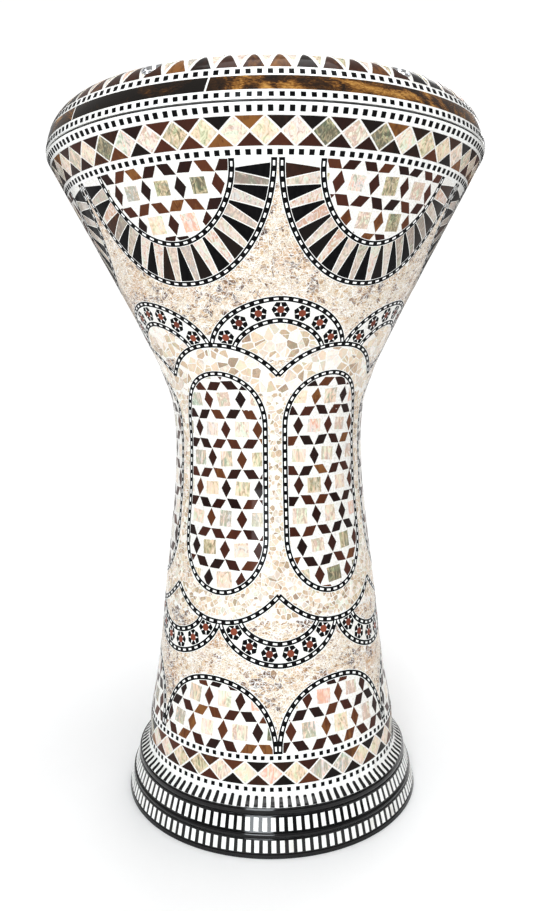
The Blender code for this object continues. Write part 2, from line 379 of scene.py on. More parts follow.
def bone(tree):
    mottle = noise(tree, 260.0, 3.0, stretch=(1.0, 1.0, 0.3))
    value = total(tree, scaled(tree, tint(tree), 0.35), mottle)
    return ramp(tree, value, [(0.30, (0.74, 0.72, 0.68)), (0.75, (0.92, 0.92, 0.90))])


def streaked(tree, stops, scale=520.0, grain=0.34):
    """Wood or horn whose tone changes from tile to tile, with fine streaks."""
    streaks = noise(tree, scale, 4.0, 0.8, (1.0, 1.0, 0.22))
    return ramp(tree, total(tree, tint(tree), swing(tree, streaks, grain)), stops)


def pearl(tree, stops, striation, scale=300.0, play_share=0.6):
    """Mother-of-pearl: a body colour for each tile, growth lines and a play of colours."""
    lines = noise(tree, scale, 4.0, 2.2, (1.0, 1.0, 0.30), 0.62, True)
    body = ramp(tree, total(tree, tint(tree), swing(tree, lines, striation)), stops)
    play = noise(tree, 130.0, 2.0, 2.0, (1.0, 1.0, 0.5), 0.5, True)
    glints = [(0.34, (0.78, 1.00, 0.90)), (0.45, (1.00, 0.97, 0.90))]
    glints += [(0.55, (1.00, 0.80, 0.78)), (0.66, (0.84, 0.90, 1.00))]
    return mixed(tree, play_share, body, ramp(tree, play, glints), "MULTIPLY")


def tortoise(tree):
    """Dark horn with golden flames."""
    broad = noise(tree, 26.0, 4.0, 1.8, (1.0, 1.0, 2.2), 0.62)
    fine = noise(tree, 210.0, 4.0, 2.4, (1.0, 1.0, 4.0), 0.6)
    value = total(tree, broad, swing(tree, fine, 0.42), swing(tree, tint(tree), 0.3))
    return ramp(tree, value, TORTOISE_STOPS)


def crushed(tree):
    """Crumbs and slivers of pearl set in white resin, in every tone from white to brown."""
    bent = bent_places(tree, 110.0, 9.0 * MM)
    coarse, coarse_resin = crumbs(tree, vector_node(tree, "MULTIPLY", bent, (0.75, 0.75, 1.15)), 270.0)
    fine, fine_resin = crumbs(tree, bent, 560.0)
    share = ramp(tree, noise(tree, 24.0, 2.0), [(0.46, BLACK), (0.54, WHITE)])
    crumb = scaled(tree, mixed(tree, share, coarse, fine), 0.55)
    dust = swing(tree, noise(tree, 1500.0, 4.0), 1.0)
    patches = swing(tree, noise(tree, 38.0, 3.0), 1.25)
    value = total(tree, scaled(tree, tint(tree), 0.45), crumb, dust, patches)
    rust = ramp(tree, noise(tree, 62.0, 3.0, 0.6), [(0.50, WHITE), (0.66, (0.88, 0.73, 0.60))])
    toned = mixed(tree, 1.0, ramp(tree, value, CRUSHED_STOPS), rust, "MULTIPLY")
    bright = (0.90, 0.90, 0.90)
    lines = [(0.455, BLACK), (0.480, bright), (0.500, bright), (0.520, BLACK)]
    streaks = ramp(tree, noise(tree, 210.0, 3.0, 1.6, (0.6, 0.6, 1.5)), lines)
    resin = mixed(tree, 1.0, mixed(tree, share, coarse_resin, fine_resin), streaks, "LIGHTEN")
    return mixed(tree, resin, toned, (0.92, 0.91, 0.89, 1.0))


def bent_places(tree, scale, amount):
    """The object's coordinates, bent by noise."""
    places = socket(tree, "ShaderNodeTexCoord", "Object")
    waves = socket(tree, "ShaderNodeTexNoise", "Color", {"Vector": places, "Scale": scale, "Detail": 2.0})
    centred = vector_node(tree, "SUBTRACT", waves, (0.5, 0.5, 0.5))
    return vector_node(tree, "ADD", places, vector_node(tree, "MULTIPLY", centred, (amount, amount, amount)))


def crumbs(tree, places, scale):
    """Random crumbs: a number for each, and a mask of the resin between them."""
    inputs = {"Vector": places, "Scale": scale}
    cells = socket(tree, "ShaderNodeTexVoronoi", "Color", inputs)
    edges = socket(tree, "ShaderNodeTexVoronoi", "Distance", inputs, feature="DISTANCE_TO_EDGE")
    resin = ramp(tree, edges, [(0.012, (0.85, 0.85, 0.85)), (0.048, BLACK)])
    return socket(tree, "ShaderNodeSeparateColor", 0, {0: cells}), resin


def metal(name, dark, light, roughness, scale, stretch=EVEN):
    """Bare metal with a faint grain."""
    stops = [(0.3, dark), (0.7, light)]
    made = material(name, {"Metallic": 1.0, "Roughness": roughness}, grained, scale, stops, 4.0, stretch)
    tree = made.node_tree
    inputs = {"Height": noise(tree, scale, 4.0, 0.0, stretch), "Strength": 0.25, "Distance": 0.1 * MM}
    dents = socket(tree, "ShaderNodeBump", 0, inputs)
    tree.links.new(dents, tree.nodes["Principled BSDF"].inputs["Normal"])
    return made


GROUT_STOPS = [(0.30, (0.72, 0.69, 0.64)), (0.62, (0.90, 0.89, 0.86))]
EBONY_STOPS = [(0.35, (0.002, 0.002, 0.003)), (0.80, (0.010, 0.009, 0.009))]
DISC_STOPS = [(0.0, (0.13, 0.030, 0.018)), (1.0, (0.30, 0.085, 0.045))]
FILM_STOPS = [(0.3, (0.58, 0.58, 0.57)), (0.7, (0.66, 0.66, 0.65))]
PEARL_STOPS = [
    (0.00, (0.15, 0.15, 0.10)),
    (0.12, (0.43, 0.39, 0.25)),
    (0.24, (0.79, 0.68, 0.51)),
    (0.36, (0.83, 0.77, 0.67)),
    (0.46, (0.55, 0.42, 0.33)),
    (0.56, (0.85, 0.80, 0.73)),
    (0.68, (0.77, 0.63, 0.49)),
    (0.78, (0.38, 0.39, 0.31)),
    (0.90, (0.83, 0.77, 0.71)),
    (1.00, (0.75, 0.48, 0.36)),
]
BROKEN_STOPS = [
    (0.00, (0.38, 0.29, 0.21)),
    (0.12, (0.57, 0.45, 0.32)),
    (0.30, (0.70, 0.58, 0.43)),
    (0.46, (0.81, 0.70, 0.56)),
    (0.58, (0.64, 0.57, 0.49)),
    (0.74, (0.85, 0.79, 0.70)),
    (1.00, (0.92, 0.89, 0.84)),
]
CRUSHED_STOPS = [
    (0.08, (0.10, 0.06, 0.045)),
    (0.19, (0.22, 0.14, 0.10)),
    (0.31, (0.40, 0.27, 0.17)),
    (0.43, (0.60, 0.44, 0.28)),
    (0.55, (0.72, 0.58, 0.40)),
    (0.62, (0.88, 0.82, 0.71)),
    (0.70, (0.38, 0.30, 0.25)),
    (0.80, (0.74, 0.58, 0.39)),
    (0.90, (0.86, 0.81, 0.73)),
    (1.00, (0.52, 0.39, 0.31)),
]
RAY_STOPS = [
    (0.00, (0.29, 0.25, 0.21)),
    (0.20, (0.54, 0.47, 0.39)),
    (0.40, (0.70, 0.67, 0.61)),
    (0.55, (0.43, 0.38, 0.34)),
    (0.70, (0.65, 0.56, 0.46)),
    (0.88, (0.74, 0.71, 0.67)),
    (1.00, (0.59, 0.40, 0.30)),
]
ROSEWOOD_STOPS = [
    (0.00, (0.020, 0.009, 0.008)),
    (0.30, (0.044, 0.014, 0.009)),
    (0.65, (0.085, 0.026, 0.015)),
    (0.90, (0.130, 0.045, 0.018)),
    (1.00, (0.240, 0.105, 0.034)),
]
HORN_STOPS = [
    (0.00, (0.006, 0.005, 0.005)),
    (0.45, (0.018, 0.011, 0.008)),
    (0.78, (0.060, 0.022, 0.012)),
    (1.00, (0.250, 0.110, 0.032)),
]
TORTOISE_STOPS = [
    (0.40, (0.012, 0.009, 0.007)),
    (0.54, (0.050, 0.022, 0.008)),
    (0.62, (0.220, 0.095, 0.020)),
    (0.72, (0.520, 0.290, 0.080)),
]

GROUT, BONE, EBONY, PEARL, SHARD, ROSEWOOD, HORN, DISC, RAY_PEARL, CRUSHED, POLISHED, TORTOISE = range(12)
GRAIN = (1.0, 1.0, 0.25)
MATERIALS = [
    material("white_grout", lacquer(0.45), grained, 900.0, GROUT_STOPS),
    material("bone", lacquer(), bone),
    material("ebony", lacquer(0.35, 0.02, 0.25), grained, 420.0, EBONY_STOPS, 3.0, GRAIN),
    material("pearl", lacquer(0.22), pearl, PEARL_STOPS, 0.75),
    material("broken_pearl", lacquer(0.22), pearl, BROKEN_STOPS, 0.55, 500.0, 0.4),
    material("rosewood", lacquer(0.30, 0.03, 0.4), streaked, ROSEWOOD_STOPS),
    material("horn", lacquer(0.30, 0.03, 0.4), streaked, HORN_STOPS, 300.0, 0.5),
    material("red_centre", lacquer(0.30, 0.03, 0.4), streaked, DISC_STOPS),
    material("ray_pearl", lacquer(0.22), pearl, RAY_STOPS, 1.1, 300.0, 0.5),
    material("crushed_pearl", lacquer(0.35), crushed),
    material("polished_ebony", lacquer(0.35, 0.02, 1.0, 1.5), grained, 420.0, EBONY_STOPS, 3.0, GRAIN),
    material("tortoise", lacquer(0.25, 0.05, 0.6, 1.45), tortoise),
]
CAST = metal("cast_aluminium", (0.40, 0.40, 0.41), (0.56, 0.56, 0.57), 0.42, 500.0)
BRIGHT = metal("bright_aluminium", (0.66, 0.66, 0.67), (0.84, 0.84, 0.85), 0.20, 900.0)
STEEL = metal("steel", (0.60, 0.60, 0.61), (0.78, 0.78, 0.79), 0.22, 900.0, (1.0, 1.0, 0.2))
FILM = material("film", {"Roughness": 0.34}, grained, 60.0, FILM_STOPS)


# Polygons in the plane


def edges_of(polygon):
    return zip(polygon, polygon[1:] + polygon[:1])


def between(first, second, part):
    return (first[0] + (second[0] - first[0]) * part, first[1] + (second[1] - first[1]) * part)


def beyond(place, normal, offset):
    """How far a place lies past the line where normal . point = offset."""
    return normal[0] * place[0] + normal[1] * place[1] - offset


def clipped(polygon, normal, offset):
    """The part of a convex polygon where normal . point <= offset."""
    kept = []
    for here, after in edges_of(polygon):
        here_side, after_side = beyond(here, normal, offset), beyond(after, normal, offset)
        if here_side <= 0.0:
            kept.append(here)
        if here_side * after_side < 0.0:
            kept.append(between(here, after, here_side / (here_side - after_side)))
    return kept


def clipped_to(polygon, region):
    """The part of a convex polygon inside a convex region, whose corners go anticlockwise."""
    for normal, offset in edge_lines(region):
        polygon = clipped(polygon, normal, offset)
        if len(polygon) < 3:
            return []
    return polygon


def edge_lines(polygon):
    """Each edge's line as (unit normal, offset), with angles weighed like lengths."""
    lines = []
    for start, end in edges_of(polygon):
        size = math.dist(start, end) or 1.0
        normal = ((end[1] - start[1]) / size, (start[0] - end[0]) / size)
        lines.append((normal, beyond(start, normal, 0.0)))
    return lines


def area(polygon):
    return sum(x0 * y1 - x1 * y0 for (x0, y0), (x1, y1) in edges_of(polygon)) / 2.0


def without_repeats(polygon):
    kept = []
    for place in polygon:
        if not kept or not same_place(place, kept[-1]):
            kept.append(place)
    while len(kept) > 1 and same_place(kept[0], kept[-1]):
        kept.pop()
    return kept


def same_place(first, second):
    return abs(first[0] - second[0]) + abs(first[1] - second[1]) <= 1e-7


def laid(centre, corners, angle):
    """Corners about a centre, turned by an angle."""
    cosine, sine = math.cos(angle), math.sin(angle)
    return [(centre[0] + x * cosine - y * sine, centre[1] + x * sine + y * cosine) for x, y in corners]


def regular(count, radius, start=0.0):
    """A regular polygon about zero, from a first corner at an angle in degrees."""
    start = math.radians(start)
    return ellipse((0.0, 0.0), (radius, radius), start, start + math.tau, count + 1)[:-1]


# Meshes


class Mosaic:
    """Tiles gathered on one surface and made into one mesh.

    places holds (angle, length along the outline, lift) of each corner, and faces holds
    (corner numbers, whether it is a top, material slot, tint).
    """

    def __init__(self, surface, rise=TILE_RISE):
        self.surface = surface
        self.steps = (TILE_TURN, rise)
        self.places = []
        self.faces = []

    def corner(self, place, lift):
        self.places.append((place[0], place[1], lift))
        return len(self.places) - 1

    def slabs(self, polygon, axis):
        """Cuts a polygon at every step, so that its flat parts follow the surface."""
        low = min(place[axis] for place in polygon)
        size = max(place[axis] for place in polygon) - low
        if size <= self.steps[axis]:
            return [polygon]
        count = math.ceil(size / self.steps[axis])
        normal = (1.0 - axis, float(axis))
        opposite = (-normal[0], -normal[1])
        parts = []
        for index in range(count):
            part = polygon
            if index > 0:
                part = clipped(part, opposite, -low - size * index / count)
            if index < count - 1:
                part = clipped(part, normal, low + size * (index + 1) / count)
            parts.append(part)
        return parts

    def tile(self, polygon, slot, tint_value, lift, open_edges=()):
        """A tile with upright sides. Its corners are (angle, length along the outline)."""
        if area(polygon) < 0.0:
            polygon = polygon[::-1]
        polygon = without_repeats(polygon)
        if len(polygon) < 3:
            return
        outer = edge_lines(polygon)
        for column in self.slabs(polygon, 0):
            for part in self.slabs(column, 1) if len(column) >= 3 else ():
                part = without_repeats(part)
                if len(part) >= 3:
                    self.flat(part, slot, tint_value, lift, outer, open_edges)

    def flat(self, part, slot, tint_value, lift, outer, open_edges):
        """One flat part of a tile, with walls along the tile's own edges."""
        tops = [self.corner(place, lift) for place in part]
        self.faces.append((tops, True, slot, tint_value))
        lows = {}
        for index in range(len(part)):
            after = (index + 1) % len(part)
            line = on_outer_line(part[index], part[after], outer)
            if line is None or line in open_edges:
                continue
            for corner in (index, after):
                if corner not in lows:
                    lows[corner] = self.corner(part[corner], lift - WALL_DEPTH)
            wall = [tops[after], tops[index], lows[index], lows[after]]
            self.faces.append((wall, False, slot, tint_value))

    def row(self, first, second, slot, tint_value, lift, closed=False):
        """Tiles in a row between two lines, with no walls where one runs on into the next."""
        last = len(first) - 2
        for index in range(last + 1):
            quad = [first[index], first[index + 1], second[index + 1], second[index]]
            joined = [1] * (closed or index < last) + [3] * (closed or index > 0)
            if area(quad) < 0.0:
                joined = [(2 - edge) % 4 for edge in joined]
            self.tile(quad, slot, tint_value, lift, joined)

    def skin(self, start, end, slot=GROUT, turns=GROUT_TURNS, rows=None):
        """The ground that the tiles lie in: a closed thin ring."""
        rows = rows or max(1, math.ceil((end - start) / (2.5 * MM)))
        start, end = start - SEAM_CLOSING, end + SEAM_CLOSING
        loop = [(along, GROUT_LIFT) for along in np.linspace(start, end, rows + 1)]
        loop += [(along, GROUT_LIFT - GROUT_DEPTH) for along in np.linspace(end, start, rows + 1)]
        first = len(self.places)
        for turn in range(turns):
            self.places += [(math.tau * turn / turns, along, lift) for along, lift in loop]
        for index, corners in ring_faces(len(loop), turns, first):
            self.faces.append((corners, index < rows, slot, 0.5))

    def build(self, name, body, nodes, record_slot):
        points, normals = self.surface.place(self.places)
        faces, tops, slots, tints = zip(*self.faces)
        mesh = bpy.data.meshes.new(name)
        mesh.from_pydata(points.tolist(), [], faces)
        for each in MATERIALS:
            mesh.materials.append(each)
        mesh.polygons.foreach_set("material_index", np.array(slots, dtype=np.int32))
        mesh.polygons.foreach_set("use_smooth", np.ones(len(faces), dtype=bool))
        values = mesh.attributes.new("tint", "FLOAT", "FACE")
        values.data.foreach_set("value", np.array(tints, dtype=np.float32))
        sizes = [len(face) for face in faces]
        face_normals = np.empty(len(faces) * 3)
        mesh.polygons.foreach_get("normal", face_normals)
        per_corner = np.repeat(face_normals.reshape(-1, 3), sizes, axis=0)
        on_top = np.repeat(tops, sizes)
        per_corner[on_top] = normals[np.concatenate(faces)[on_top]]
        mesh.normals_split_custom_set(per_corner.tolist())
        add_piece(name, mesh, body, nodes)


def on_outer_line(start, end, outer):
    """The number of the tile's own edge that a part's edge lies on, or None on a cut."""
    for number, (normal, offset) in enumerate(outer):
        if abs(beyond(start, normal, offset)) <= 2e-7 and abs(beyond(end, normal, offset)) <= 2e-7:
            return number
    return None


def ring_faces(size, turns, first=0, closed=True):
    """Quads between outlines of some size that are set round in a ring."""
    for turn in range(turns):
        after = (turn + 1) % turns
        for index in range(size if closed else size - 1):
            follow = (index + 1) % size
            corners = ((turn, index), (after, index), (after, follow), (turn, follow))
            yield index, [first + column * size + row for column, row in corners]


def solid(name, outlines, look, crease=40.0, closed=True):
    """A mesh through outlines set round in a ring. Where they are open, its two ends are capped."""
    size, turns = len(outlines[0]), len(outlines)
    faces = [corners for _index, corners in ring_faces(size, turns, 0, closed)]
    if not closed:
        faces += [[turn * size for turn in range(turns)], [turn * size + size - 1 for turn in range(turns)]]
    mesh = bpy.data.meshes.new(name)
    mesh.from_pydata([point for outline in outlines for point in outline], [], faces)
    mesh.materials.append(look)
    outward = bmesh.new()
    outward.from_mesh(mesh)
    bmesh.ops.recalc_face_normals(outward, faces=outward.faces)
    outward.to_mesh(mesh)
    outward.free()
    mesh.shade_smooth()
    mesh.set_sharp_from_angle(angle=math.radians(crease))
    return mesh


def around(steps):
    """(cosine, sine) of even steps round a circle."""
    return [(math.cos(math.tau * step / steps), math.sin(math.tau * step / steps)) for step in range(steps)]


def add_piece(name, mesh, body, nodes=()):
    piece = bpy.data.objects.new(name, mesh)
    bpy.context.scene.collection.objects.link(piece)
    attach(piece, body)
    if nodes:
        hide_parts(*nodes)


# Curves of the motifs, as (degrees from the front, height)


def wrapped(degrees, period=360.0):
    """An angle brought between minus and plus half a period."""
    return (degrees + period / 2) % period - period / 2


class Arch:
    """A superellipse arc standing on a level, or hanging from it where its rise is negative."""

    def __init__(self, centre, half, level, rise, power):
        self.centre, self.half, self.level, self.rise, self.power = centre, half, level, rise, power

    def line(self, count=64):
        points = []
        for angle in np.linspace(math.pi, 0.0, count):
            across = math.copysign(abs(math.cos(angle)) ** (2.0 / self.power), math.cos(angle))
            up = abs(math.sin(angle)) ** (2.0 / self.power)
            points.append((self.centre + self.half * across, self.level + self.rise * up))
        return points

    def inside(self, degrees, height):
        across = abs(wrapped(degrees - self.centre)) / self.half
        up = (height - self.level) / self.rise
        return up >= 0.0 and across < 1.0 and across**self.power + up**self.power < 1.0


class Wave:
    """A row of arcs from cusp to cusp around the drum."""

    def __init__(self, centre, crest, drop, power=2.2):
        self.centre, self.crest, self.drop, self.power = centre, crest, drop, power

    def height(self, degrees):
        across = abs(wrapped(degrees - self.centre, SECTOR)) / (SECTOR / 2)
        return self.crest - self.drop * across**self.power

    def line(self, count=40):
        turns = np.linspace(self.centre - SECTOR / 2, self.centre + SECTOR / 2, count)
        return [(degrees, self.height(degrees)) for degrees in turns]


class Stadium:
    """The border of a neck panel: upright sides and two round ends."""

    def __init__(self, centre, half, low, high, low_cap, high_cap):
        self.centre, self.half, self.low, self.high = centre, half, low, high
        self.low_cap, self.high_cap = low_cap, high_cap

    def line(self, count=28):
        bottom, top = self.low + self.low_cap, self.high - self.high_cap
        side = np.linspace(top, bottom, int((self.high - self.low) / (6.0 * MM)))[1:-1]
        points = ellipse((self.centre, top), (self.half, self.high_cap), math.pi, 0.0, count)
        points += [(self.centre + self.half, height) for height in side]
        points += ellipse((self.centre, bottom), (self.half, -self.low_cap), 0.0, math.pi, count)
        return points + [(self.centre - self.half, height) for height in side[::-1]]

    def inside(self, degrees, height):
        across = abs(wrapped(degrees - self.centre)) / self.half
        over = (height - self.high) / self.high_cap + 1.0
        under = (self.low - height) / self.low_cap + 1.0
        return across < 1.0 and across**2 + max(0.0, over, under) ** 2 < 1.0


RIM_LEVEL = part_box("rim_lower_square_strip")[0].z
FOOT_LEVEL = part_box("foot_upper_square_strip")[1].z
UPPER_TWIST = 1.6
LOWER_TWIST = 1.0
PETAL = Arch(29.5, 29.1, RIM_LEVEL, -59.4 * MM, 2.2)
PETAL_INNER = Arch(29.5, 19.3, RIM_LEVEL, -38.5 * MM, 2.0)
STAR_ARCH = Arch(UPPER_TWIST, 30.0, 280.0 * MM, 29.5 * MM, 1.75)
STAR_ARCH_INNER = Arch(UPPER_TWIST, 20.7, 277.0 * MM, 20.7 * MM, 1.75)
UPPER_WAVE = Wave(30.0 + UPPER_TWIST, 284.4 * MM, 17.9 * MM)
PANEL = Stadium(30.3, 24.6, 138.3 * MM, 267.8 * MM, 33.0 * MM, 31.5 * MM)
LOWER_WAVE = Wave(30.0 + LOWER_TWIST, 121.4 * MM, -16.6 * MM)
STAR_CUP = Arch(LOWER_TWIST, 30.0, 125.0 * MM, -26.6 * MM, 1.85)
STAR_CUP_INNER = Arch(LOWER_TWIST, 19.8, 126.0 * MM, -15.4 * MM, 1.85)
FOOT_ARCH = Arch(29.2, 29.2, FOOT_LEVEL, 38.1 * MM, 2.15)
PALE_LEVELS = (124.0 * MM, 256.0 * MM)
# Middle of one cell in each honeycomb, for the even sectors and for the odd ones
PANEL_PHASES = ((2.0 * MM, 15.5 * MM), (2.4 * MM, 13.7 * MM))
PETAL_PHASES = ((0.4 * MM, -11.2 * MM), (1.0 * MM, -12.6 * MM))
ARCH_PHASES = ((-0.3 * MM, -9.8 * MM), (-3.0 * MM, -10.6 * MM))


def on_body(line):
    """(angle, length along the outline) of a line of (degrees, height)."""
    return [(math.radians(degrees), BODY.at_height(height)) for degrees, height in line]


def respaced(line, step=LINE_STEP, closed=False):
    """The same line with points an even, true distance apart, and its length."""
    places = np.array(line + line[:1] if closed else line)
    radii = np.interp((places[1:, 1] + places[:-1, 1]) / 2.0, BODY.along, BODY.radii)
    lengths = np.hypot(np.diff(places[:, 0]) * radii, np.diff(places[:, 1]))
    run = np.concatenate([[0.0], np.cumsum(lengths)])
    marks = np.linspace(0.0, run[-1], max(2, round(run[-1] / step)) + 1)
    turns, along = (np.interp(marks, run, places[:, axis]).tolist() for axis in (0, 1))
    return list(zip(turns, along)), run[-1]


def offset_line(line, distance, closed=False):
    """A line beside another, a true distance to its left."""
    last = len(line) - 1
    beside = []
    for index, (turn, along) in enumerate(line):
        if closed:
            before, after = line[(index - 1) % last], line[(index + 1) % last]
        else:
            before, after = line[max(0, index - 1)], line[min(last, index + 1)]
        radius = BODY.radius(along)
        across, up = (after[0] - before[0]) * radius, after[1] - before[1]
        size = math.hypot(across, up) or 1.0
        beside.append((turn - up / size * distance / radius, along + across / size * distance))
    return beside


def point_on(line, part):
    """A point a share of the way along an evenly spaced line."""
    position = min(max(part, 0.0), 1.0) * (len(line) - 1)
    index = min(int(position), len(line) - 2)
    return between(line[index], line[index + 1], position - index)


def bordered(mosaic, line, closed=False, raised=0.0, pitch=DASH_PITCH):
    """A black ribbon with white edges and a row of white dashes."""
    even, length = respaced(on_body(line), closed=closed)
    for width, slot, lift in ((RIBBON_EDGE, BONE, EDGE_LIFT), (RIBBON_WIDTH, EBONY, RIBBON_LIFT)):
        left, right = (offset_line(even, side * width / 2.0, closed) for side in (1.0, -1.0))
        mosaic.row(right, left, slot, 0.5, lift + raised, closed)
    count = max(1, round(length / pitch))
    half = DASH_LENGTH / length / 2.0
    for index in range(count):
        middle = (index + 0.5) / count
        run = [point_on(even, middle + half * part) for part in (-1.0, -0.33, 0.33, 1.0)]
        left, right = (offset_line(run, side * DASH_WIDTH / 2.0) for side in (1.0, -1.0))
        mosaic.tile(right + left[::-1], BONE, 0.8, INLAY_LIFT + raised)


# Fillings of the motifs


def honeycomb(chance, region, place, mosaic, cell, phase):
    """Rhombi on the sides of a honeycomb and a pearl square in each cell, cut to the region.

    The region and the cells are flat; place() puts a flat point on the drum. Cells are
    (width, height of a row), and phase is where the middle of one cell lies.
    """

    def fill(polygon, slot, tint_value):
        kept = clipped_to(polygon, region)
        if len(kept) >= 3 and abs(area(kept)) > SMALLEST_TILE:
            mosaic.tile([place(*point) for point in kept], slot, tint_value, TILE_LIFT)

    wide, tall = cell
    mean = (wide + tall) / 2.0
    reach = int(max(abs(x) for x, _y in region) / wide + 1.0) + 2
    low = int(min(y for _x, y in region) / tall - 1.0) - 1
    high = int(max(y for _x, y in region) / tall + 1.0) + 1
    long, short = (share * mean / 2.0 for share in RHOMBUS_SHARES)
    for row in range(low, high + 1):
        for column in range(-reach, reach + 1):
            x = (column + (0.5 if row % 2 else 0.0)) * wide + phase[0]
            y = row * tall + phase[1]
            fill(loose_square(chance, (x, y), mean * SQUARE_OF_CELL / 2.0), PEARL, chance.random())
            for side in range(3):
                angle = math.radians(60.0 * side)
                middle = (
                    x + wide / 2 * math.cos(angle) + chance.uniform(-LOOSE, LOOSE),
                    y + tall / math.sqrt(3.0) * math.sin(angle) + chance.uniform(-LOOSE, LOOSE),
                )
                rhombus = [(short, 0.0), (0.0, long), (-short, 0.0), (0.0, -long)]
                rhombus = laid(middle, rhombus, angle + chance.uniform(-0.07, 0.07))
                fill(rhombus, ROSEWOOD, chance.random() ** 1.3)


def loose_square(chance, centre, half):
    """A pearl square, cut and laid by hand: not quite square, nor quite straight."""
    wide = half * chance.uniform(0.88, 1.12)
    tall = half * chance.uniform(0.90, 1.14)
    lean = chance.uniform(-0.10, 0.10)
    middle = (centre[0] + chance.uniform(-LOOSE, LOOSE), centre[1] + chance.uniform(-LOOSE, LOOSE))
    return laid(middle, [(-wide, -tall), (wide, -tall), (wide, tall), (-wide, tall)], lean)


def rays(chance, mosaic, outer, inner, low, high):
    """Black rays with their feet on the outer border, and pearl wedges between them."""
    lines = []
    for arch in (outer, inner):
        held = [(turn, min(max(along, low), high)) for turn, along in on_body(arch.line(160))]
        lines.append(respaced(held, FINE_STEP)[0])
    band_ground(mosaic, *lines, SHARD_LIFT)

    def foot(steps):
        return point_on(lines[0], 0.5 + steps * RAY_FEET)

    def tip(steps):
        return point_on(lines[1], 0.5 + steps * RAY_TIPS)

    half = RAY_SHARE / 2.0
    for index in range(RAYS):
        ray = index - (RAYS - 1) / 2.0
        black = [foot(ray - half), foot(ray + half), tip(ray + 0.05), tip(ray - 0.05)]
        mosaic.tile(black, HORN if chance.random() < 0.4 else EBONY, chance.random() * 0.8, TILE_LIFT)
        if index < RAYS - 1:
            wedge = [foot(ray + half + 0.06), foot(ray + 0.94 - half), tip(ray + 0.90), tip(ray + 0.10)]
            mosaic.tile(wedge, RAY_PEARL, chance.random(), TILE_LIFT)


def band_ground(mosaic, outer, inner, lift):
    """The ground of a band between two borders."""
    marks = [index / 60 for index in range(61)]
    edges = ([point_on(line, mark) for mark in marks] for line in (outer, inner))
    mosaic.row(*edges, GROUT, 0.7, lift)


def stars(chance, mosaic, outer, inner, count):
    """Stars in black hexagons, evenly spread along the band between two borders."""
    (foot, foot_half), (tip, tip_half) = STAR_RAY_FOOT, STAR_RAY_TIP
    ray = [(foot, -foot_half), (tip, -tip_half), (tip, tip_half), (foot, foot_half)]
    for index in range(count):
        first, second = (point_on(line, (index + 0.5) / count) for line in (outer, inner))
        turn, along = between(first, second, 0.5)
        radius = BODY.radius(along)
        lean = math.atan2(second[1] - first[1], (second[0] - first[0]) * radius)
        shapes = [(regular(6, STAR_HEXAGON, 30.0), EBONY, TILE_LIFT)]
        shapes += [(laid((0.0, 0.0), ray, math.radians(60.0 * side)), BONE, RIBBON_LIFT) for side in range(6)]
        shapes += [(regular(12, STAR_DISC), DISC, INLAY_LIFT)]
        tones = {EBONY: 0.3, BONE: 0.8, DISC: chance.random()}
        for shape, slot, lift in shapes:
            corners = [(turn + x / radius, along + y) for x, y in laid((0.0, 0.0), shape, lean)]
            mosaic.tile(corners, slot, tones[slot], lift)


# Broken mother-of-pearl


def shards(chance, beds, low, high, sizes, slot):
    """Broken pearl laid like crazy paving, with grout between, in the zones of these sizes.

    beds are (start, end, mosaic) stretches of the outline.
    """
    pitch = sizes[0]
    rows = []
    along = low
    while along < high:
        count = round(math.tau * BODY.radius(along) / pitch)
        row = []
        for index in range(count):
            stray = chance.uniform(-STRAY, STRAY) + (0.5 if len(rows) % 2 else 0.0)
            turn = math.tau * (index + stray) / count % math.tau
            row.append((turn, along + chance.uniform(-STRAY, STRAY) * pitch))
        rows.append(sorted(row))
        along += pitch * ROW_RISE
    for number, row in enumerate(rows):
        near = rows[max(0, number - 2) : number + 3]
        for seed in row:
            if zone(*seed) is not sizes:
                continue
            for start, end, mosaic in beds:
                if start <= seed[1] < end:
                    shard(chance, mosaic, seed, sizes, near, (low, high), slot)


def shard(chance, mosaic, seed, sizes, near, ends, slot):
    """One cell of the paving: what lies nearer to its seed than to any other, less the grout."""
    pitch, splits = sizes
    radius = BODY.radius(seed[1])
    reach = pitch * 1.3
    cell = [(-reach, -reach), (reach, -reach), (reach, reach), (-reach, reach)]
    gap = (0.035 + chance.uniform(0.0, 0.06)) * pitch + 0.04 * MM
    gap *= CRUMB_GAP if slot == CRUSHED else 1.0
    for row in near:
        for other in neighbours(row, seed[0], 2.0 * reach / radius):
            across, up = wrapped(other[0] - seed[0], math.tau) * radius, other[1] - seed[1]
            distance = math.hypot(across, up)
            if distance < 1e-6 or distance > 2.0 * reach:
                continue
            cell = clipped(cell, (across / distance, up / distance), distance / 2.0 - gap)
            if len(cell) < 3:
                return
    cell = clipped(cell, (0.0, -1.0), seed[1] - ends[0])
    cell = clipped(cell, (0.0, 1.0), ends[1] - seed[1])
    if len(cell) < 3:
        return
    angle = chance.uniform(0.0, math.pi)
    parts = [cell]
    if chance.random() < splits:
        x, y = math.cos(angle), math.sin(angle)
        shift = chance.uniform(-0.12, 0.12) * pitch
        parts = [clipped(cell, (x, y), shift - gap / 2.0), clipped(cell, (-x, -y), -shift - gap / 2.0)]
    for part in parts:
        if len(part) < 3 or abs(area(part)) < SMALLEST_SHARD:
            continue
        middle = (sum(x for x, _y in part) / len(part), sum(y for _x, y in part) / len(part))
        corners = [kept_in(seed, corner, middle, radius, sizes) for corner in part]
        mosaic.tile(corners, slot, chance.random(), SHARD_LIFT)


def kept_in(seed, corner, middle, radius, sizes):
    """A shard's corner, drawn towards the shard's middle until it leaves the motif."""
    for step in range(9):
        place = (seed[0] + corner[0] / radius, seed[1] + corner[1])
        if step == 8 or zone(*place) is sizes:
            return place
        corner = between(middle, corner, 0.75)


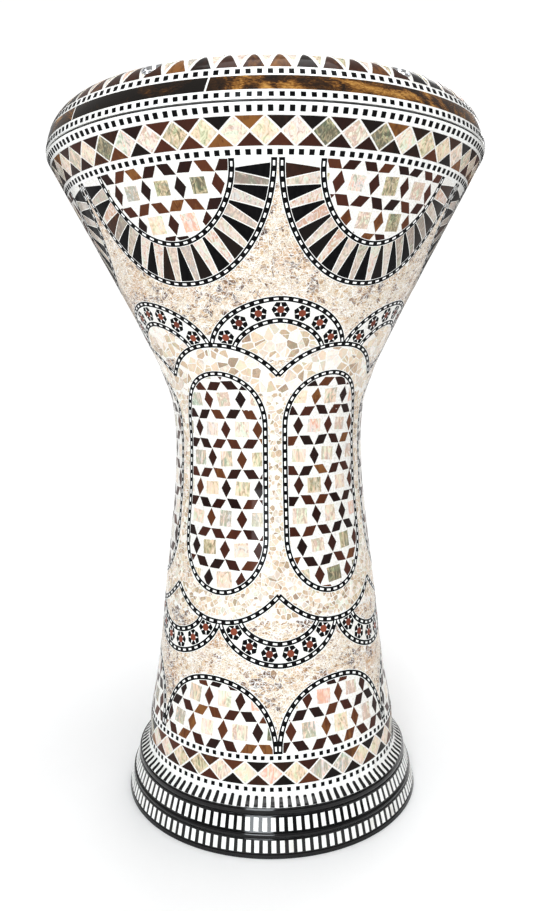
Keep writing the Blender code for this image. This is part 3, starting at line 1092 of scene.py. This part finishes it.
def neighbours(row, turn, reach):
    """Places of a sorted row within a reach of an angle."""
    found = []
    for shift in (-math.tau, 0.0, math.tau):
        first = bisect.bisect_left(row, (turn - reach + shift,))
        last = bisect.bisect_right(row, (turn + reach + shift, math.inf))
        found += row[first:last]
    return found


def locally(degrees, centre):
    """The angle as seen in the sector about a centre."""
    return wrapped(degrees - centre, SECTOR) + centre


def in_star_band(degrees, height):
    """Whether a place lies in the white bands of stars."""
    if height > UPPER_WAVE.height(degrees):
        local = locally(degrees, UPPER_TWIST)
        return STAR_ARCH.inside(local, height) and not STAR_ARCH_INNER.inside(local, height)
    if height < LOWER_WAVE.height(degrees):
        local = locally(degrees, LOWER_TWIST)
        return STAR_CUP.inside(local, height) and not STAR_CUP_INNER.inside(local, height)
    return False


def zone(turn, along):
    """The sizes of the broken pearl at a place, or None within a motif."""
    degrees, height = math.degrees(turn), BODY.height(along)
    local = locally(degrees, SECTOR / 2)
    if any(shape.inside(local, height) for shape in (PETAL, PANEL, FOOT_ARCH)):
        return None
    if in_star_band(degrees, height):
        return None
    wave = UPPER_WAVE.height(degrees)
    if PALE_LEVELS[1] < height < wave:
        return BROKEN
    if height > wave and STAR_ARCH_INNER.inside(locally(degrees, UPPER_TWIST), height):
        return BROKEN
    return PALE_CRUMBS if PALE_LEVELS[0] < height < PALE_LEVELS[1] else CRUMBS


# The covering, strip by strip


def square_strip(node, chance, surface=BODY, body="drum"):
    """A row of small black squares around a white strip."""
    low, high = surface.span(node)
    mosaic = Mosaic(surface, STRIP_RISE)
    mosaic.skin(low, high, BONE, STRIP_TURNS, 3)
    count, width = SQUARES[node]
    middle = (low + high) / 2.0
    half = (high - low) * SQUARE_SHARE / 2.0
    wide = width / surface.radius(middle) / 2.0
    for index in range(count):
        turn = math.tau * (index + chance.uniform(-0.04, 0.04)) / count
        lean = chance.uniform(-0.05, 0.05) * wide
        corners = [(turn - wide - lean, middle - half), (turn + wide - lean, middle - half)]
        corners += [(turn + wide + lean, middle + half), (turn - wide + lean, middle + half)]
        mosaic.tile(corners, EBONY, chance.random(), TILE_LIFT)
    mosaic.build(node + "_inlay", body, [node], "bone_and_ebony")


def diamond_band(node, count, chance, first_turn=0.0):
    """Pearl diamonds with dark triangles above and below them."""
    low, high = BODY.span(node)
    mosaic = Mosaic(BODY)
    mosaic.skin(low, high)
    middle = (low + high) / 2.0
    wide = math.pi / count
    inset = DIAMOND_LINE / math.sqrt(2.0)
    side = inset / BODY.radius(middle)
    base = wide - side * 1.15
    for index in range(count):
        turn = math.radians(first_turn) + math.tau * (index + 0.5) / count
        diamond = [(turn, low + inset * 0.7), (turn + wide - side, middle)]
        diamond += [(turn, high - inset * 0.7), (turn - wide + side, middle)]
        mosaic.tile(diamond, PEARL, chance.random(), TILE_LIFT)
        centre = turn + wide
        for edge, tip in ((high, middle + inset), (low, middle - inset)):
            triangle = [(centre - base, edge), (centre, tip), (centre + base, edge)]
            mosaic.tile(triangle, HORN if chance.random() < 0.6 else ROSEWOOD, chance.random(), TILE_LIFT)
    mosaic.build(node + "_inlay", "drum", [node], "wood_and_pearl")


def bar_band(node, chance, tapered=False):
    """Short upright bars: white ones on black, or black ones with round tops on white."""
    low, high = BODY.span(node)
    tall = high - low
    mosaic = Mosaic(BODY, STRIP_RISE)
    mosaic.skin(low, high, BONE if tapered else POLISHED, STRIP_TURNS, 6)
    half = math.pi / BARS[node] * (TAPER_SHARE if tapered else BAR_SHARE)
    for index in range(BARS[node]):
        turn = math.tau * (index + chance.uniform(-0.03, 0.03)) / BARS[node]
        sides = [(half, low + tall * BAR_MARGIN), (half, high - tall * BAR_MARGIN)]
        if tapered:
            top = low + tall * chance.uniform(0.74, 0.86)
            sides = [(half * 1.25, low), (half, top), (half * 0.6, top + 0.5 * MM)]
        bar = [(turn + across, along) for across, along in sides]
        bar += [(turn - across, along) for across, along in reversed(sides)]
        mosaic.tile(bar, POLISHED if tapered else BONE, chance.random(), TILE_LIFT)
    mosaic.build(node + "_inlay", "drum", [node], "bone_and_ebony")


def flat_region(shape, radius_at, middle, count=20):
    """A motif's border laid flat about its middle, anticlockwise, and the way back."""
    centre = math.radians(shape.centre)

    def place(x, y):
        return (centre + x / radius_at(middle + y), middle + y)

    border = on_body(shape.line(count))
    region = [((turn - centre) * radius_at(along), along - middle) for turn, along in border]
    return region[::-1] if area(region) < 0.0 else region, place


def filled_motif(chance, mosaic, shape, cell, phase, radius_at, middle, closed=False, pitch=DASH_PITCH):
    """A border round a honeycomb."""
    region, place = flat_region(shape, radius_at, middle)
    mosaic.tile([place(*corner) for corner in region], GROUT, 0.5, SHARD_LIFT)
    honeycomb(chance, region, place, mosaic, cell, phase)
    bordered(mosaic, shape.line(), closed, pitch=pitch)


def star_band(chance, mosaic, arcs, wave, side, count):
    """The white band of stars between two arcs, both cut off by the wave."""
    lines = []
    for arc in arcs:
        line = arc.line(160)
        lines.append([(x, height) for x, height in line if side * (height - wave.height(x)) > -0.3 * MM])
    even = [respaced(on_body(line), FINE_STEP)[0] for line in lines]
    band_ground(mosaic, *even, SHARD_LIFT + 0.02 * MM)
    stars(chance, mosaic, *even, count)
    for line in lines:
        bordered(mosaic, line)


def in_sector(sector, *shapes):
    """The same motifs in another sector."""
    moved = [copy.copy(shape) for shape in shapes]
    for shape in moved:
        shape.centre += SECTOR * sector
    return moved


def steady_radius(height):
    radius = BODY.radius(BODY.at_height(height))
    return lambda _along: radius


def inlays(chance):
    """The three broad mosaics: foot to waist, waist, and bowl."""
    nodes = ("lower_inlay", "neck_inlay", "bowl_inlay")
    beds = []
    for node in nodes:
        start, end = BODY.span(node)
        mosaic = Mosaic(BODY)
        mosaic.skin(start, end)
        beds.append((start - SEAM_CLOSING, end + SEAM_CLOSING, mosaic))
    lower, neck, bowl = (bed[2] for bed in beds)
    low, waist, high = beds[0][0], beds[1][0], beds[2][1]
    shards(chance, beds, waist, high, BROKEN, SHARD)
    shards(chance, beds, low, high, CRUMBS, CRUSHED)
    shards(chance, beds, low, high, PALE_CRUMBS, SHARD)

    arch_places = (steady_radius(70.0 * MM), BODY.at_height(72.0 * MM))
    panel_places = (steady_radius(200.0 * MM), BODY.at_height((PANEL.low + PANEL.high) / 2.0))
    for sector in range(SECTORS):
        odd = sector % 2
        arch, cup, cup_inner, wave = in_sector(sector, FOOT_ARCH, STAR_CUP, STAR_CUP_INNER, LOWER_WAVE)
        filled_motif(chance, lower, arch, ARCH_CELL, ARCH_PHASES[odd], *arch_places)
        star_band(chance, lower, (cup, cup_inner), LOWER_WAVE, -1.0, LOWER_STARS)
        bordered(lower, wave.line(), raised=WAVE_RAISE)
        (panel,) = in_sector(sector, PANEL)
        details = (*panel_places, True, PANEL_DASH_PITCH)
        filled_motif(chance, neck, panel, PANEL_CELL, PANEL_PHASES[odd], *details)
        petal, inner = in_sector(sector, PETAL, PETAL_INNER)
        rays(chance, bowl, petal, inner, low, high)
        filled_motif(chance, bowl, inner, PETAL_CELL, PETAL_PHASES[odd], BODY.radius, high)
        bordered(bowl, petal.line())
        arc, arc_inner, wave = in_sector(sector, STAR_ARCH, STAR_ARCH_INNER, UPPER_WAVE)
        star_band(chance, bowl, (arc, arc_inner), UPPER_WAVE, 1.0, UPPER_STARS)
        bordered(bowl, wave.line(), raised=WAVE_RAISE)
    for node, bed in zip(nodes, beds):
        bed[2].build(node + "_mosaic", "drum", [node], "pearl_mosaic")


def turned_ring(node):
    """A round, polished copy of a CAD ring, from its outline at one side."""
    outline = outline_at(node, math.radians(30.0))
    outlines = []
    for cosine, sine in around(STRIP_TURNS):
        outlines.append([(radius * cosine, radius * sine, height) for radius, height in outline])
    name = node + "_round"
    add_piece(name, solid(name, outlines, MATERIALS[POLISHED]), "drum", [node])


def outline_at(node, angle):
    """The closed outline of a turned CAD node, as (radius, height) points in order."""
    mesh = NODES[node].data
    on_plane = {}
    for vertex in mesh.vertices:
        x, y, z = vertex.co
        if abs(math.atan2(y, x) - angle) < 1e-3:
            on_plane[vertex.index] = (round(math.hypot(x, y), 6), round(z, 6))
    links = {}
    for edge in mesh.edges:
        first, second = (on_plane.get(index) for index in edge.vertices)
        if first and second and first != second:
            links.setdefault(first, set()).add(second)
            links.setdefault(second, set()).add(first)
    loop = [min(links)]
    while True:
        following = [point for point in sorted(links[loop[-1]]) if point not in loop]
        if not following:
            return loop
        loop.append(following[0])


# The tuning ring's covering and its bolts


def recess_places():
    """Number and centre of each of the six bolts, seen from above."""
    for index in range(1, SECTORS + 1):
        low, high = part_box(f"tension_bolt_{index}")
        yield index, ((low.x + high.x) / 2.0, (low.y + high.y) / 2.0)


def tortoise_band(node):
    """Long strips of horn laid end to end, some dark and some golden."""
    low, high = RING.span(node)
    mosaic = Mosaic(RING, STRIP_RISE)
    mosaic.skin(low, high, GROUT, STRIP_TURNS, 8)
    ends = [degrees for degrees, _tone in TORTOISE_STRIPS[1:]] + [TORTOISE_STRIPS[0][0] + 360.0]
    for (degrees, tone), end in zip(TORTOISE_STRIPS, ends):
        start, end = math.radians(degrees) + TORTOISE_GAP, math.radians(end) - TORTOISE_GAP
        turns = np.linspace(start, end, max(1, round((end - start) / TORTOISE_STEP)) + 1).tolist()
        bottom, top = [(turn, low) for turn in turns], [(turn + TORTOISE_LEAN, high) for turn in turns]
        mosaic.row(bottom, top, TORTOISE, tone, GROUT_LIFT + 0.03 * MM)
    mosaic.build(node + "_inlay", "tuning_ring", [node], "tortoise")


def triangle_band(node, chance):
    """Dark triangles with light ones between them, over the crown, opened for the bolts."""
    low = RING.span(node)[0]
    mosaic = Mosaic(RING, 1.5 * MM)
    mosaic.skin(low, RING.along[-1], GROUT, STRIP_TURNS, 14)
    rise = RING.at_height(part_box(node)[1].z) - low
    base, tip, top = low + 0.7 * MM, low + rise * 0.58, low + rise * 0.86
    wide = math.pi / RING_TRIANGLES
    foot = wide * 0.80
    for index in range(RING_TRIANGLES):
        turn = math.tau * index / RING_TRIANGLES
        dark = [(turn - foot, base), (turn + foot, base), (turn, tip)]
        mosaic.tile(dark, HORN, chance.random(), TILE_LIFT)
        centre = turn + wide
        light = [(centre, base + 1.5 * MM), (centre + foot * 0.92, top), (centre - foot * 0.92, top)]
        mosaic.tile(light, PEARL, chance.random(), TILE_LIFT)
    punch(mosaic)
    mosaic.build(node + "_inlay", "tuning_ring", [node], "wood_and_pearl")


def punch(mosaic):
    """Opens the six bolt recesses: tiles near one are cut fine, and drawn back to its rim."""
    centres = [centre for _number, centre in recess_places()]
    points, _normals = mosaic.surface.place(mosaic.places)
    halves, drawn = {}, set()
    kept = []
    for face, *rest in mosaic.faces:
        middle = points[face].mean(axis=0)[:2]
        near = [centre for centre in centres if math.dist(middle, centre) < BOLT_RECESS + RECESS_REACH]
        if not near:
            kept.append((face, *rest))
            continue
        for small in cut_small(mosaic, face, halves):
            in_recess = [drawn_out(mosaic, corner, near[0], drawn) for corner in small]
            if not all(in_recess):
                kept.append((small, *rest))
    mosaic.faces = kept


def cut_small(mosaic, face, halves):
    """A face as small triangles that share their corners."""
    triangles = [(face[0], first, second) for first, second in zip(face[1:], face[2:])]
    for _level in range(2):
        finer = []
        for a, b, c in triangles:
            ab, bc, ca = (halfway(mosaic, pair, halves) for pair in ((a, b), (b, c), (c, a)))
            finer += [[a, ab, ca], [ab, b, bc], [ca, bc, c], [ab, bc, ca]]
        triangles = finer
    return triangles


def halfway(mosaic, pair, halves):
    key = (min(pair), max(pair))
    if key not in halves:
        first, second = (mosaic.places[corner] for corner in pair)
        turn = first[0] + wrapped(second[0] - first[0], math.tau) / 2.0
        halves[key] = mosaic.corner((turn, (first[1] + second[1]) / 2.0), (first[2] + second[2]) / 2.0)
    return halves[key]


def drawn_out(mosaic, corner, centre, drawn):
    """True where a corner lies in the recess; a corner there is drawn out to the rim."""
    if corner in drawn:
        return True
    turn, along, lift = mosaic.places[corner]
    radius = mosaic.surface.radius(along)
    place = (radius * math.sin(turn), -radius * math.cos(turn))
    distance = math.dist(place, centre)
    if distance >= BOLT_RECESS:
        return False
    x, y = between(centre, place, BOLT_RECESS / max(distance, 1e-6))
    mosaic.places[corner] = (math.atan2(x, -y), mosaic.surface.at_radius(math.hypot(x, y)), lift)
    drawn.add(corner)
    return True


def recess_liner(index, centre):
    """A bright metal sleeve in a bolt recess, its top edge following the ring's slope."""
    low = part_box(f"washer_{index}")[0].z
    outlines = []
    for cosine, sine in around(LINER_STEPS):
        inner, outer = (
            (centre[0] + radius * cosine, centre[1] + radius * sine)
            for radius in (BOLT_RECESS - LINER[0], BOLT_RECESS + LINER[1])
        )
        tops = [RING.height(RING.at_radius(math.hypot(*place))) + 0.02 * MM for place in (inner, outer)]
        outlines.append([(*inner, tops[0]), (*inner, low), (*outer, low), (*outer, tops[1])])
    name = f"recess_liner_{index}"
    add_piece(name, solid(name, outlines, BRIGHT), "tuning_ring", ())


def bolt(index, centre):
    """A socket-head bolt: knurled head with a chamfered rim, hexagonal socket, and plain shank."""
    node = f"tension_bolt_{index}"
    low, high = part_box(node)
    head, top, seat = (high.x - low.x) / 2.0, high.z, high.z - HEAD_HEIGHT
    plain = [(SHANK - CHAMFER, low.z), (SHANK, low.z + CHAMFER), (SHANK, seat), (head - HEAD_ROUND, seat)]
    knurled = [(head, seat + HEAD_ROUND), (head, top - CHAMFER)]
    hexagon = regular(6, SOCKET[0] / math.cos(math.pi / 6.0))
    outlines = []
    for step, (cosine, sine) in enumerate(around(KNURLS * 2)):
        cut = KNURL_DEPTH * (step % 2)
        profile = plain + [(radius - cut, height) for radius, height in knurled] + [(head - CHAMFER, top)]
        outline = [(radius * cosine, radius * sine, height) for radius, height in profile]
        side, part = divmod(step, KNURLS // 3)
        x, y = between(hexagon[side], hexagon[(side + 1) % 6], part / (KNURLS // 3))
        outline += [(x, y, top), (x, y, top - SOCKET[1])]
        outlines.append([(centre[0] + x, centre[1] + y, z) for x, y, z in outline])
    mesh = solid(node + "_knurled", outlines, STEEL, 18.0, closed=False)
    add_piece(node + "_knurled", mesh, node, [node])


# Floor, light and camera


def sky():
    """White to the eye, with a dimmer band round the horizon for the lacquer to mirror."""
    world = bpy.data.worlds.new("studio")
    bpy.context.scene.world = world
    world.use_nodes = True
    tree = world.node_tree
    places = socket(tree, "ShaderNodeTexCoord", "Generated")
    height = socket(tree, "ShaderNodeSeparateXYZ", "Z", {"Vector": places})
    stops = [(0.0, 0.24), (0.12, 0.20), (0.55, 0.62), (1.0, 0.72)]
    shade = ramp(tree, height, [(position, (value,) * 3) for position, value in stops])
    seen = socket(tree, "ShaderNodeLightPath", "Is Camera Ray")
    background = tree.nodes["Background"]
    tree.links.new(mixed(tree, seen, shade, (1.0, 1.0, 1.0, 1.0)), background.inputs["Color"])
    background.inputs["Strength"].default_value = 1.0


def fade(tree, near, far):
    """A shade that changes with the distance from the drum."""
    places = socket(tree, "ShaderNodeTexCoord", "Object")
    away = socket(tree, "ShaderNodeVectorMath", "Value", {0: places}, operation="LENGTH")
    return ramp(tree, scaled(tree, away, 0.5), [(0.2, near), (0.8, far)])


def floor_colour(tree):
    haze = grained(tree, 3.0, [(0.3, (0.93, 0.93, 0.93)), (0.7, (0.96, 0.96, 0.96))], 2.0)
    return mixed(tree, 1.0, haze, fade(tree, WHITE, BLACK), "MULTIPLY")


def studio():
    """A pale floor that glows more and more with distance, so that it has no horizon."""
    sky()
    bpy.ops.mesh.primitive_plane_add(size=6.0, location=(0.0, 0.0, -0.0002))
    floor = bpy.context.object
    floor.name = "floor"
    finish = {"Roughness": 0.9, "Specular IOR Level": 0.0, "Emission Strength": 1.0}
    pale = material("pale_floor", finish, floor_colour)
    tree = pale.node_tree
    tree.links.new(fade(tree, BLACK, WHITE), tree.nodes["Principled BSDF"].inputs["Emission Color"])
    floor.data.materials.append(pale)
    area_light("window", -13.0, 15.0, 2.2, (0.8, 1.5), 8.0, (0.91, 0.96, 1.0))
    area_light("top", 20.0, 80.0, 2.0, (1.2, 1.2), 3.2, WHITE)
    area_light("back", 165.0, 30.0, 2.2, (1.6, 1.2), 2.4, WHITE)


def area_light(name, azimuth, elevation, distance, size, radiance, colour):
    """A soft box, placed by its direction from the drum: azimuth 0 is in front, 90 at the right."""
    turn, rise = math.radians(azimuth), math.radians(elevation)
    direction = Vector((math.sin(turn) * math.cos(rise), -math.cos(turn) * math.cos(rise), math.sin(rise)))
    data = bpy.data.lights.new(name, "AREA")
    data.shape = "RECTANGLE"
    data.size, data.size_y = size
    data.energy = radiance * math.pi * size[0] * size[1]
    data.color = colour
    light = bpy.data.objects.new(name, data)
    light.location = Vector((0.0, 0.0, 0.2)) + direction * distance
    light.rotation_euler = (-direction).to_track_quat("-Z", "Y").to_euler()
    bpy.context.scene.collection.objects.link(light)


def camera():
    data = bpy.data.cameras.new("camera")
    data.sensor_width = SENSOR
    data.lens = LENS
    data.shift_y = SHIFT
    data.clip_start = 0.01
    data.dof.use_dof = False
    viewer = bpy.data.objects.new("camera", data)
    bpy.context.scene.collection.objects.link(viewer)
    forward = Vector((math.sin(YAW) * math.cos(PITCH), math.cos(YAW) * math.cos(PITCH), -math.sin(PITCH)))
    turn = forward.to_track_quat("-Z", "Y").to_matrix().to_4x4() @ Matrix.Rotation(ROLL, 4, "Z")
    viewer.matrix_world = Matrix.Translation(EYE) @ turn
    bpy.context.scene.camera = viewer


def paint(node, look):
    mesh = NODES[node].data
    mesh.materials.clear()
    mesh.materials.append(look)


def main():
    view = bpy.context.scene.view_settings
    view.view_transform = "Standard"
    view.gamma = 0.86
    view.exposure = 0.08
    chance = random.Random(SEED)
    for node in ("base_ring", "foot_rib_1", "foot_rib_2"):
        turned_ring(node)
    for node in ("foot_bar_band_3", "foot_bar_band_2", "foot_bar_band_1"):
        bar_band(node, chance, tapered=node == "foot_bar_band_1")
    for node in ("foot_lower_square_strip", "foot_upper_square_strip"):
        square_strip(node, chance)
    diamond_band("foot_diamond_band", FOOT_DIAMONDS, chance, FOOT_DIAMOND_TURN)
    inlays(chance)
    for node in ("rim_lower_square_strip", "rim_upper_square_strip"):
        square_strip(node, chance)
    diamond_band("rim_diamond_band", RIM_DIAMONDS, chance)
    for node in ("ring_lower_square_strip", "ring_upper_square_strip"):
        square_strip(node, chance, RING, "tuning_ring")
    tortoise_band("ring_tortoise_band")
    triangle_band("ring_triangle_band", chance)
    for index, centre in recess_places():
        recess_liner(index, centre)
        bolt(index, centre)
        paint(f"washer_{index}", STEEL)
    paint("shell", CAST)
    paint("tuning_ring", BRIGHT)
    paint("flesh_hoop", BRIGHT)
    paint("drumhead", FILM)
    studio()
    camera()


main()
